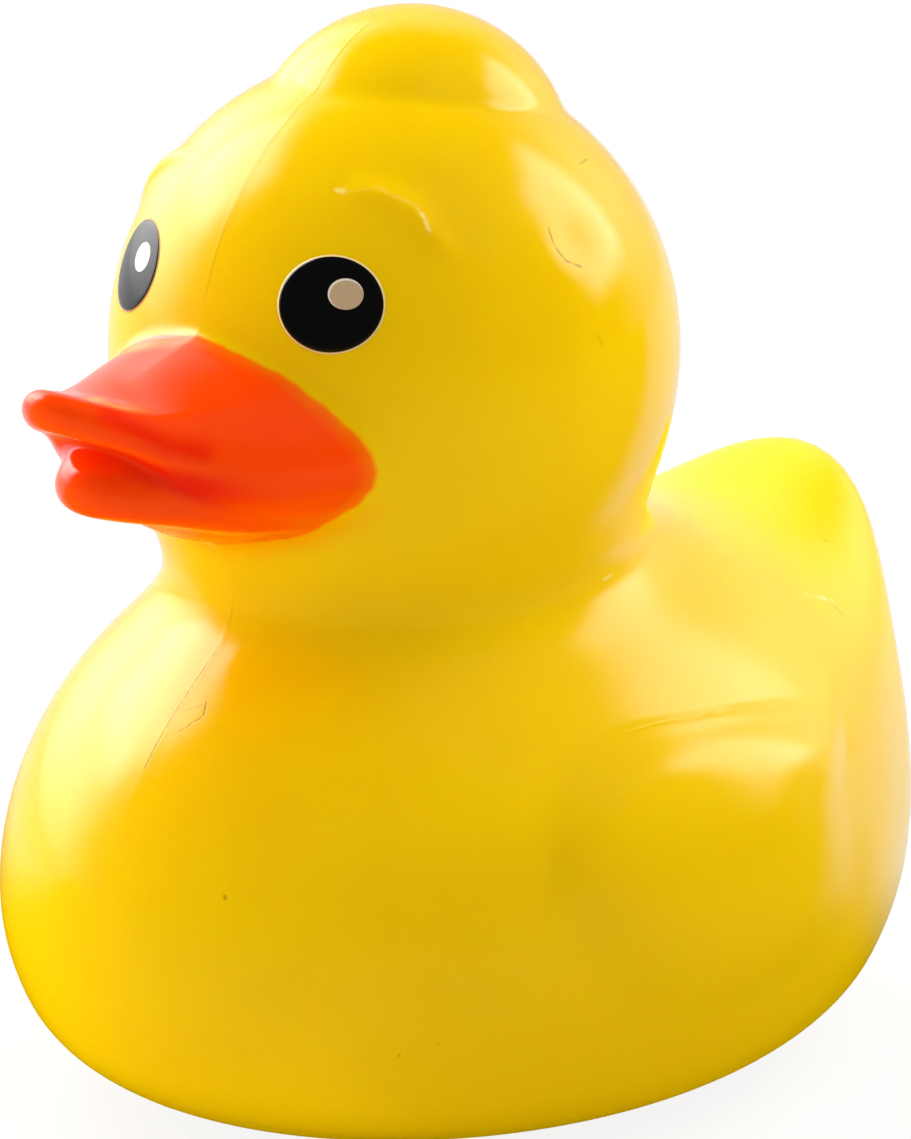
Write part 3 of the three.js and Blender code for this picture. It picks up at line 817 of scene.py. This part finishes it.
# Softboxes in the gloss: direction in degrees, half sizes and soft edge as tangents, strength
SOFTBOXES = (
    ((-77, 37), (0.27, 0.25), 0.09, 3.6),
    ((-88, 27), (0.45, 0.36), 0.27, 3.4),
    ((-92, 4), (0.6, 0.3), 0.3, 0.6),
    ((-135, 46), (0.3, 0.2), 0.15, 0.6),
    ((153, 31), (0.25, 0.31), 0.1, 3.8),
    ((172, 22), (0.25, 0.22), 0.2, 0.7),
)

# Lamps that light the skin: name, direction in degrees, half sizes as tangents, strength
LAMPS = (
    ("lamp_front", (-60, 5), (0.4, 0.35), 5.1),
    ("lamp_left", (-90, 43), (0.4, 0.35), 5.0),
    ("lamp_right", (110, 60), (0.4, 0.35), 3.0),
    ("lamp_back", (160, 32), (0.4, 0.35), 2.0),
)
LAMP_DISTANCE = 0.6

# Floor: its size and glow in metres, and its colours in the gloss with where they change: a painted shadow of
# the duck close to it, tinted yellow, and painted lit floor behind and beside it
FLOOR_HALF_SIZE = 3.0
FLOOR_GLOW, FLOOR_GLOW_REACH = 0.88, (0.07, 0.2)
FLOOR_NEAR_SHADOW, FLOOR_FAR = (0.4, 0.28, 0.0, 1), (0.85, 0.85, 0.85, 1)
FLOOR_BESIDE, FLOOR_BEHIND = (-0.05, -0.16), (0.04, 0.085)
FLOOR_FRONT_SLOPE, FLOOR_FRONT = 0.6, (-0.02, 0.06)
FLOOR_EDGE_SLOPE, FLOOR_EDGE = 0.25, (0.04, 0.0)

# Room: its light on the skin, and the pale wall behind the duck in the gloss
ROOM_FILL = 0.45
ROOM_BEHIND, ROOM_BEHIND_AZIMUTH_DEG = 0.62, -128
ROOM_BEHIND_SPAN, ROOM_HEIGHT_SPAN = (0.1, 0.55), (0.88, 0.4)


def towards(azimuth_deg, elevation_deg):
    """Unit vector for an azimuth from the front, positive to the duck's left, and an elevation."""
    azimuth, elevation = math.radians(azimuth_deg), math.radians(elevation_deg)
    level = Vector((math.sin(azimuth), -math.cos(azimuth), 0))
    return level * math.cos(elevation) + Vector((0, 0, math.sin(elevation)))


def softbox_group():
    """Mask of a soft-edged rectangle of light, seen in one direction."""
    name = "Softbox"
    if name in bpy.data.node_groups:
        return bpy.data.node_groups[name]
    inputs = {"Direction": "Vector", "Axis": "Vector", "Across": "Vector", "Up": "Vector",
              "Half Width": "Float", "Half Height": "Float", "Edge": "Float"}
    nodes, given, out = new_group(name, inputs, {"Mask": "Float"})
    given = given.outputs

    def along(axis):
        pair = {0: given["Direction"], 1: given[axis]}
        return nodes.add("ShaderNodeVectorMath", pair, operation="DOT_PRODUCT").outputs["Value"]

    depth = along("Axis")
    mask = nodes.math("GREATER_THAN", depth, 0.05)
    for axis, half in (("Across", "Half Width"), ("Up", "Half Height")):
        offset = nodes.math("ABSOLUTE", nodes.math("DIVIDE", along(axis), depth))
        outer = nodes.math("ADD", given[half], given["Edge"])
        inner = nodes.math("SUBTRACT", given[half], given["Edge"])
        mask = nodes.math("MULTIPLY", mask, nodes.ramp(offset, outer, inner))
    nodes.feed(out.inputs["Mask"], mask)
    return nodes.tree


class DUCK_OT_set_stage(bpy.types.Operator):
    """Sets up the pale floor, the soft light of a plain studio and the photograph's camera"""

    bl_idname = "duck.set_stage"
    bl_label = "Set Stage"

    def execute(self, context):
        scene = context.scene
        scene.view_settings.view_transform = "Standard"
        self.camera(scene)
        self.floor(scene)
        for lamp in LAMPS:
            self.lamp(scene, *lamp)
        self.room(scene)
        return {"FINISHED"}

    def camera(self, scene):
        back = towards(CAMERA_AZIMUTH_DEG, CAMERA_ELEVATION_DEG)
        right = Vector((0, 0, 1)).cross(back).normalized()
        turn = Matrix((right, back.cross(right), back)).transposed()
        turn = turn @ Matrix.Rotation(math.radians(CAMERA_ROLL_DEG), 3, "Z")
        lens = bpy.data.cameras.new("camera")
        lens.sensor_width = SENSOR
        lens.lens = PIXELS_PER_METRE * CAMERA_DISTANCE / max(IMAGE_WIDTH, IMAGE_HEIGHT) * SENSOR
        lens.clip_start = CAMERA_DISTANCE / 100
        camera = bpy.data.objects.new("camera", lens)
        camera.matrix_world = Matrix.Translation(CAMERA_AIM + back * CAMERA_DISTANCE) @ turn.to_4x4()
        scene.collection.objects.link(camera)
        scene.camera = camera

    def floor(self, scene):
        mesh = bpy.data.meshes.new("floor")
        bm = bmesh.new()
        bmesh.ops.create_grid(bm, x_segments=1, y_segments=1, size=FLOOR_HALF_SIZE)
        bm.to_mesh(mesh)
        bm.free()
        material = bpy.data.materials.new("floor")
        material.use_nodes = True
        nodes = NodeTree(material.node_tree)
        rays = nodes.add("ShaderNodeLightPath").outputs
        place = nodes.add("ShaderNodeTexCoord").outputs["Object"]
        side, back, _ = nodes.add("ShaderNodeSeparateXYZ", {0: place}).outputs
        # In the gloss the floor shows a painted shadow close to the duck and painted light behind and beside
        # it
        edge = nodes.math("SUBTRACT", side, nodes.math("MULTIPLY", back, FLOOR_EDGE_SLOPE))
        behind = nodes.math("MULTIPLY", nodes.ramp(edge, *FLOOR_EDGE), nodes.ramp(back, *FLOOR_BEHIND))
        front = nodes.math("SUBTRACT", back, nodes.math("MULTIPLY", side, FLOOR_FRONT_SLOPE))
        beside = nodes.math("MULTIPLY", nodes.ramp(side, *FLOOR_BESIDE), nodes.ramp(front, *FLOOR_FRONT))
        bright = nodes.math("MAXIMUM", behind, beside)
        mirrored = nodes.mix(bright, FLOOR_NEAR_SHADOW, FLOOR_FAR)
        away = nodes.add("ShaderNodeVectorMath", {0: place}, operation="LENGTH").outputs["Value"]
        white = nodes.ramp(away, *FLOOR_GLOW_REACH, FLOOR_GLOW, 1.0)
        seen = nodes.math("MULTIPLY", rays["Is Camera Ray"], white)
        swapped = nodes.math("ADD", seen, rays["Is Glossy Ray"])
        paper = nodes.add("ShaderNodeBsdfDiffuse", {"Color": tuple(scene.duck_colours.floor)})
        glow_colour = nodes.mix(rays["Is Camera Ray"], mirrored, (1, 1, 1, 1))
        glow = nodes.add("ShaderNodeEmission", {"Color": glow_colour})
        mixed = nodes.add("ShaderNodeMixShader", {0: swapped, 1: paper.outputs[0], 2: glow.outputs[0]})
        nodes.add("ShaderNodeOutputMaterial", {"Surface": mixed.outputs[0]})
        mesh.materials.append(material)
        floor = bpy.data.objects.new("floor", mesh)
        scene.collection.objects.link(floor)

    def lamp(self, scene, name, direction, spread, strength):
        away = towards(*direction)
        light = bpy.data.lights.new(name, "AREA")
        light.shape = "RECTANGLE"
        light.size, light.size_y = (2 * LAMP_DISTANCE * half for half in spread)
        light.energy = strength * math.pi * light.size * light.size_y
        lamp = bpy.data.objects.new(name, light)
        lamp.location = CAMERA_AIM + away * LAMP_DISTANCE
        lamp.rotation_euler = away.to_track_quat("Z", "Y").to_euler()
        lamp.visible_glossy = False
        scene.collection.objects.link(lamp)

    def room(self, scene):
        """White to the camera, white behind the duck in its gloss, and darker on the camera's side."""
        world = bpy.data.worlds.new("room")
        world.use_nodes = True
        nodes = NodeTree(world.node_tree)
        rays = nodes.add("ShaderNodeLightPath").outputs
        direction = nodes.add("ShaderNodeTexCoord").outputs["Generated"]
        behind = nodes.add("ShaderNodeVectorMath", {
            0: direction, 1: towards(ROOM_BEHIND_AZIMUTH_DEG, 0)}, operation="DOT_PRODUCT").outputs["Value"]
        height = nodes.add("ShaderNodeSeparateXYZ", {0: direction}).outputs["Z"]
        wall = nodes.ramp(behind, *ROOM_BEHIND_SPAN)
        wall = nodes.math("MULTIPLY", wall, nodes.ramp(height, *ROOM_HEIGHT_SPAN))
        mirrored = nodes.math("MULTIPLY", wall, ROOM_BEHIND)
        for aim, spread, edge, strength in SOFTBOXES:
            away = towards(*aim)
            across = Vector((0, 0, 1)).cross(away).normalized()
            box = nodes.add("ShaderNodeGroup", node_tree=softbox_group())
            values = (direction, away, across, away.cross(across), *spread, edge)
            for socket, value in zip(box.inputs, values):
                nodes.feed(socket, value)
            mirrored = nodes.math("ADD", mirrored, nodes.math("MULTIPLY", box.outputs["Mask"], strength))
        glossy = nodes.math("MULTIPLY", rays["Is Glossy Ray"], nodes.math("SUBTRACT", mirrored, ROOM_FILL))
        seen = nodes.math("MULTIPLY", rays["Is Camera Ray"], 1 - ROOM_FILL)
        strength = nodes.math("ADD", nodes.math("ADD", glossy, seen), ROOM_FILL)
        background = nodes.add("ShaderNodeBackground", {"Strength": strength, "Color": (1, 1, 1, 1)})
        nodes.add("ShaderNodeOutputWorld", {"Surface": background.outputs[0]})
        world.cycles.sampling_method = "NONE"
        scene.world = world


class DUCK_PT_panel(bpy.types.Panel):
    """Lists the duck's pieces, sizes and colours"""

    bl_idname = "DUCK_PT_panel"
    bl_label = "Squishy Toy Duck"
    bl_space_type = "VIEW_3D"
    bl_region_type = "UI"
    bl_category = "Duck"

    def draw(self, context):
        for operator in OPERATORS:
            self.layout.operator(operator.bl_idname)
        for group in (context.scene.duck_sizes, context.scene.duck_colours):
            for name in group.__annotations__:
                self.layout.prop(group, name)


OPERATORS = (DUCK_OT_build_skin, DUCK_OT_print_eyes, DUCK_OT_set_stage)
CLASSES = (DuckSizes, DuckColours, *OPERATORS, DUCK_PT_panel)


def register():
    for cls in CLASSES:
        bpy.utils.register_class(cls)
    bpy.types.Scene.duck_sizes = PointerProperty(type=DuckSizes)
    bpy.types.Scene.duck_colours = PointerProperty(type=DuckColours)


def unregister():
    del bpy.types.Scene.duck_colours
    del bpy.types.Scene.duck_sizes
    for cls in reversed(CLASSES):
        bpy.utils.unregister_class(cls)


def main():
    register()
    bpy.ops.duck.build_skin()
    bpy.ops.duck.print_eyes()
    bpy.ops.duck.set_stage()


if __name__ == "__main__":
    main()
